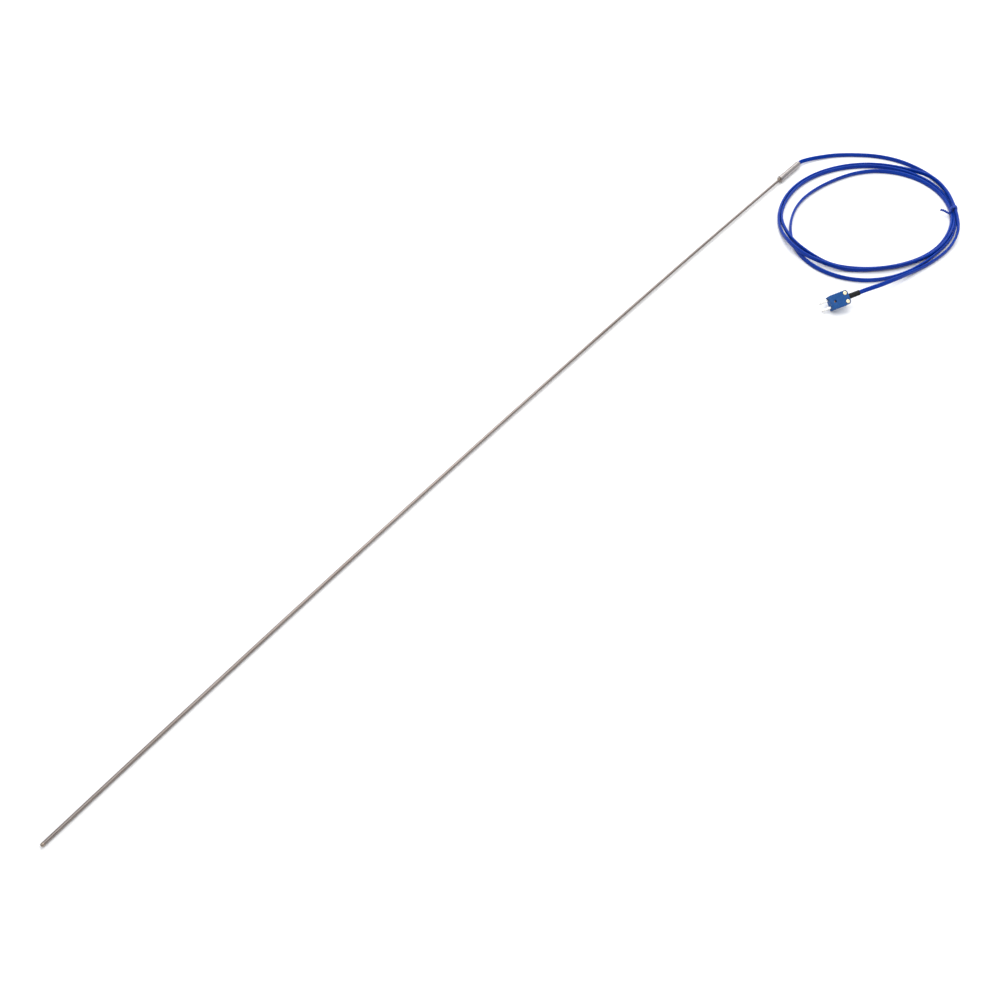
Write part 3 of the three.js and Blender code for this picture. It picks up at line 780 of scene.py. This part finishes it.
def make_pot():
    wall_hole = FERRULE_RADIUS + 0.1
    corners = [
        ((0, wall_hole), 0.1),
        ((0, COLLAR_RADIUS - 0.5), 0.1),
        ((0.5, COLLAR_RADIUS), 0.15),
        ((COLLAR_LENGTH, COLLAR_RADIUS), 0.15),
        ((COLLAR_LENGTH + 0.4, POT_RADIUS), 0.12),
        ((POT_LENGTH, POT_RADIUS), 0.25),
        ((POT_LENGTH, POT_BORE), 0.15),
        ((2, POT_BORE), 0),
        ((2, wall_hole), 0),
    ]
    profile = rounded([point for point, _ in corners], [radius for _, radius in corners])
    pot = lathe("pot_tube", [(p.x, p.y) for p in profile], PROBE, 64)
    settle(pot, "thermocouple", "steel", ["pot_sleeve"], TURNED_STEEL)


def make_ferrule():
    bore = SHEATH_RADIUS + 0.06
    points = [(-FERRULE_LENGTH, bore), (-FERRULE_LENGTH, FERRULE_RADIUS), (2, FERRULE_RADIUS), (2, bore)]
    profile = rounded(points, [0.1, 0.25, 0, 0])
    ferrule = lathe("ferrule", [(p.x, p.y) for p in profile], PROBE, 40)
    settle(ferrule, "thermocouple", "steel", ["front_ferrule"], HEATED_STEEL)


def make_potting_rim():
    """The resin's surface at the pot's mouth, drawn up round the lead."""
    oval = flat_oval(LEAD_WIDTH + 0.06, LEAD_THICKNESS + 0.06)
    rim_radius = POT_BORE - 0.02
    # How far each ring is from the pot's round bore to the lead's oval, and where it is.
    stations = [(0, 38.6), (0, 39.5), (0.35, 39.62), (0.7, 39.95), (0.9, 40.35), (1, 40.75)]
    rings = []
    for share, along in stations:
        mixed = [(point.normalized() * rim_radius).lerp(point, share) for point in oval]
        rings.append([Vector((along, p.x, p.y)) for p in mixed])
    rim = object_from(skin(rings), "potting_rim", PROBE, 60)
    settle(rim, "thermocouple", "epoxy", [])


# ---------------------------------------------------------------- tie

def tie_frame():
    """X along the bundle, Y across it and out of the coil, Z up, at the bundle's foot."""
    turning = Matrix.Rotation(TIE_HEADING, 4, "Z")
    return ROW @ Matrix.Translation((*TIE_PLACE, 0)) @ turning


def strip_section(width, thickness, ridge):
    """A thin strip's section: round edges, and a raised wire along its middle."""
    half, edge = width / 2, thickness / 2
    side = [(half, 0), (half - 0.12, edge), (0.45, edge), (0.2, edge + ridge),
            (-0.2, edge + ridge), (-0.45, edge), (0.12 - half, edge)]
    under = [(-x, -y) for x, y in side]
    return [Vector(p) for p in [*side, *under]]


def tie_wraps():
    """The strip's line round the bundle: three leads side by side with a fourth on top."""
    inner = -1.5 * COIL_SPACING - TIE_STRIP_THICKNESS / 2
    outer = -inner - TIE_SLACK
    height = 2 * LEAD_WIDTH + 0.2 + TIE_STRIP_THICKNESS
    low = TIE_STRIP_THICKNESS / 2 + 0.2
    corners = [(inner, low + height / 2), (inner, low + LEAD_WIDTH),
               (-COIL_SPACING, low + height), (COIL_SPACING - TIE_SLACK, low + height),
               (outer, low + LEAD_WIDTH), (outer, low), (inner, low)]
    loop = rounded(corners, [0, 1, 1.6, 1.6, 1, 1.2, 1.2], 4)
    count = TIE_WRAPS * len(loop)
    advance = TIE_STRIP_WIDTH * 0.8 * (TIE_WRAPS - 1) / count
    line = []
    for i in range(count + 1):
        across, over = loop[i % len(loop)]
        line.append(Vector(((i - count / 2) * advance, across, over)))
    return line


def make_tie_band():
    """The wired strip wound round the bundle, its flat side on the leads."""
    section = strip_section(TIE_STRIP_WIDTH, TIE_STRIP_THICKNESS, 0.18)
    wraps = smooth_line(tie_wraps(), 0.4)
    along = Vector((1, 0, 0))
    rings = []
    for i, centre in enumerate(wraps):
        tangent = (wraps[min(i + 1, len(wraps) - 1)] - wraps[max(i - 1, 0)]).normalized()
        wide = (along - tangent * along.dot(tangent)).normalized()
        outwards = wide.cross(tangent)
        rings.append([centre + wide * p.x + outwards * p.y for p in section])
    band = object_from(skin(rings), "tie_band", tie_frame(), 60)
    return settle(band, "thermocouple", "pvc_blue", ["lead_tie"], TIE_PLASTIC)


def make_tie_tail():
    """The strip's end, folded over and twisted on itself."""
    line = smooth_line(TIE_TAIL, 0.25)
    sides = []
    for i in range(len(line)):
        twist = 2 * math.pi * TIE_TWISTS * i / len(line)
        sides.append(Vector((math.cos(twist), math.sin(twist) * 0.3, math.sin(twist))))
    section = flat_oval(TIE_TAIL_WIDTH, TIE_TAIL_THICKNESS)
    tail = object_from(skin(sweep(line, section, sides)), "tie_tail", tie_frame(), 60)
    return settle(tail, "thermocouple", "pvc_blue", [], TIE_PLASTIC)


# ---------------------------------------------------------------- plug

def plug_outline():
    """The plug's outline: tapered front corners, finger grips and round shoulders."""
    side = [Vector((0, PLUG_FRONT_HALF)), Vector((GRIP_START - 1, PLUG_HALF))]
    for grip in range(GRIP_COUNT):
        start = GRIP_START + grip * GRIP_PITCH
        side.append(Vector((start, PLUG_HALF)))
        side.append(Vector((start + GRIP_WIDTH / 2, PLUG_HALF - GRIP_DEPTH)))
        side.append(Vector((start + GRIP_WIDTH, PLUG_HALF)))
    outline = [Vector((p.x, -p.y)) for p in side]
    outline += arc(TERMINAL_X, -TERMINAL_Y, REAR_CORNER_RADIUS, -90, 0, 10)
    outline += arc(TERMINAL_X, TERMINAL_Y, REAR_CORNER_RADIUS, 0, 90, 10)
    return outline + side[::-1]


def shared_rooms():
    """The rooms for the pins and the sleeve that both shells share."""
    rooms = []
    depth = PIN_THICKNESS / 2 + PIN_ROOM
    for pole, side in PIN_SIDES.items():
        middle = side * PIN_SPACING / 2
        half = PIN_WIDTHS[pole] / 2 + PIN_ROOM
        rooms.append(block(-1, TERMINAL_X - 3, middle - half, middle + half, -depth, depth))
    half_width, half_thickness = SLEEVE_WIDTH / 2 + 0.1, SLEEVE_THICKNESS / 2 + 0.1
    rooms.append(block(SLEEVE_START - 0.3, PLUG_LENGTH + 1,
                       -half_width, half_width, -half_thickness, half_thickness))
    terminal_half = TERMINAL_Y + 1.8
    rooms.append(block(TERMINAL_X - 5.3, PLUG_LENGTH - 0.5,
                       -terminal_half, terminal_half, -1.7, HEAD_BOTTOM))
    return rooms


def terminal_holes(radius, bottom, top):
    return [post(TERMINAL_X, side * TERMINAL_Y, radius, bottom, top) for side in (1, -1)]


def make_lower_shell():
    cuts = [
        *shared_rooms(),
        *terminal_holes(TERMINAL_SHANK + HEAD_ROOM, -3.2, 0),
        post(COVER_SCREW_X, 0, NUT_ROOM_RADIUS, -PLUG_HALF_THICKNESS - 1, NUT_ROOM_TOP),
        post(COVER_SCREW_X, 0, COVER_HOLE_RADIUS, -2, 0),
    ]
    solid = prism(plug_outline(), -PLUG_HALF_THICKNESS, -SPLIT_HALF)
    shell = carved("plug_lower_shell", solid, cuts, PLUG, SHELL_EDGE)
    return settle(shell, "thermocouple", "moulding_blue", ["plug_base"])


def make_upper_shell():
    above = PLUG_HALF_THICKNESS + 1
    cuts = [
        *shared_rooms(),
        *terminal_holes(TERMINAL_HEAD + HEAD_ROOM, 1, above),
        post(COVER_SCREW_X, 0, COVER_RECESS_RADIUS, COVER_RECESS_FLOOR, above),
        post(COVER_SCREW_X, 0, COVER_HOLE_RADIUS, 0, 2),
    ]
    solid = prism(plug_outline(), SPLIT_HALF, PLUG_HALF_THICKNESS)
    shell = carved("plug_upper_shell", solid, cuts, PLUG, SHELL_EDGE)
    return settle(shell, "thermocouple", "moulding_blue", ["plug_cover"])


def make_pin(pole):
    """A flat pin with a round, eased end, and the plate inside that its screw goes through."""
    side = PIN_SIDES[pole]
    middle = side * PIN_SPACING / 2
    half = PIN_WIDTHS[pole] / 2
    plate_start = TERMINAL_X - 2.2
    plate_end = TERMINAL_X + PIN_PLATE_HALF
    plate_y = side * TERMINAL_Y
    corners = [
        (plate_start, middle - half),
        (plate_start, plate_y - PIN_PLATE_HALF),
        (plate_end, plate_y - PIN_PLATE_HALF),
        (plate_end, plate_y + PIN_PLATE_HALF),
        (plate_start, plate_y + PIN_PLATE_HALF),
        (plate_start, middle + half),
    ]
    outline = arc(half - PIN_REACH, middle, half, 90, 270, 14)
    outline += [Vector(corner) for corner in corners]
    hole = post(TERMINAL_X, plate_y, TERMINAL_SHANK + PIN_ROOM, -2, 2)
    solid = prism(outline, -PIN_THICKNESS / 2, PIN_THICKNESS / 2)
    pin = carved(f"flat_pin_{pole}", solid, [hole], PLUG, PIN_EDGE)
    return settle(pin, "thermocouple", "tin_plate", [f"pin_{pole}"])


def make_terminal_screw(pole):
    """A tall round head with an eased rim and a cross recess, on its shank."""
    x, y = TERMINAL_X, PIN_SIDES[pole] * TERMINAL_Y
    solid = turned_solid([
        (-2.6, TERMINAL_SHANK),
        (HEAD_BOTTOM, TERMINAL_SHANK),
        (HEAD_BOTTOM, TERMINAL_HEAD),
        (HEAD_TOP - 0.3, TERMINAL_HEAD),
        (HEAD_TOP - 0.1, TERMINAL_HEAD - 0.12),
        (HEAD_TOP, TERMINAL_HEAD - 0.4),
    ], x, y)
    low, high = HEAD_TOP - CROSS_DEPTH, HEAD_TOP + 1
    cross = [
        block(x - CROSS_REACH, x + CROSS_REACH, y - CROSS_HALF, y + CROSS_HALF, low, high),
        block(x - CROSS_HALF, x + CROSS_HALF, y - CROSS_REACH, y + CROSS_REACH, low, high),
    ]
    screw = carved(f"terminal_head_{pole}", solid, cross, PLUG, SCREW_EDGE)
    return settle(screw, f"screw_{pole}", "brass", [f"terminal_screw_{pole}"])


def make_cover_screw():
    """The slotted screw at the bottom of the cover's hole, its brass painted dark brown as painted shade
    of that deep hole.
    """
    x = COVER_SCREW_X
    profile = [(-3.4, 0.8), (1.2, 0.8), (1.2, 1.2), (2.0, 1.2), (2.1, 1.08)]
    slot = block(x - 2, x + 2, -0.2, 0.2, 1.7, 3)
    screw = carved("cover_screw_head", turned_solid(profile, x, 0), [slot], PLUG, SCREW_EDGE)
    return settle(screw, "thermocouple", "brass", ["cover_screw"], RECESS_SHADE_BRASS)


def make_sleeve():
    """The rubber sleeve: tapered, with a soft lip where the lead comes out."""
    # Where each ring is, and its size beside the first one.
    stations = [(SLEEVE_START, 1), (20.4, 1), (23, 0.985), (27, 0.96), (30.5, 0.945), (31.9, 0.94),
                (32.5, 0.965), (33.1, 0.965), (33.5, 0.93), (33.65, 0.86)]
    wide = flat_oval(SLEEVE_WIDTH, SLEEVE_THICKNESS, 9)
    rings = [[Vector((x, p.y * size, p.x * size)) for p in reversed(wide)] for x, size in stations]
    inner = flat_oval(LEAD_WIDTH + 0.1, LEAD_THICKNESS + 0.1, 9)
    rings += [[Vector((x, p.y, p.x)) for p in reversed(inner)] for x in (33.55, 31.5)]
    sleeve = object_from(skin(rings), "rubber_sleeve", PLUG, 60)
    return settle(sleeve, "thermocouple", "rubber_black", ["strain_relief"])


# ---------------------------------------------------------------- stage

def make_floor():
    made = bmesh.new()
    bmesh.ops.create_grid(made, x_segments=1, y_segments=1, size=12000)
    floor = object_from(made, "floor", ROW)
    floor.data.materials.append(pale_floor())


def area_light(name, place, target, size, power):
    data = bpy.data.lights.new(name, "AREA")
    data.shape = "RECTANGLE"
    data.size, data.size_y = size
    data.energy = power
    light = bpy.data.objects.new(name, data)
    light.location = place
    light.rotation_euler = (Vector(target) - Vector(place)).to_track_quat("-Z", "Y").to_euler()
    bpy.context.scene.collection.objects.link(light)


def make_lights():
    area_light("far", (0.95, 0.85, 1.35), (0.15, 0, 0), (2.4, 1.8), 31)
    area_light("side", (0.33, -1.05, 1.35), (0.3, -0.1, 0), (1.4, 1.2), 6)
    area_light("low", (1.9, 0.15, 0.75), (0.45, 0, 0), (2.6, 1.0), 4)
    area_light("overhead", (-0.1, 0, 1.9), (-0.1, 0, 0), (2.4, 2.0), 21)
    world = bpy.data.worlds.new("studio")
    world.use_nodes = True
    backdrop = world.node_tree.nodes["Background"]
    backdrop.inputs["Color"].default_value = (0.8, 0.82, 0.85, 1)
    backdrop.inputs["Strength"].default_value = 0.45
    bpy.context.scene.world = world
    bpy.context.scene.view_settings.view_transform = "Standard"


# ---------------------------------------------------------------- CAD pieces that stay

def dress_cad_pieces():
    """The CAD pieces that nothing stands for keep their shape and get their slot's look."""
    for node in frame["nodes"].values():
        for material_slot in node.material_slots:
            name = material_slot.material.name.split(".")[0]
            material_slot.material = LOOKS[name]


make_camera()
dress_cad_pieces()
on_the_lead = [
    make_tie_band(),
    make_tie_tail(),
    make_lower_shell(),
    make_upper_shell(),
    *[make_pin(pole) for pole in PIN_SIDES],
    *[make_terminal_screw(pole) for pole in PIN_SIDES],
    make_cover_screw(),
    make_sleeve(),
    *[frame["nodes"][name] for name in PLUG_INNER_NODES],
]
make_lead()
make_sheath()
make_tip()
make_pot()
make_ferrule()
make_potting_rim()
make_floor()
make_lights()
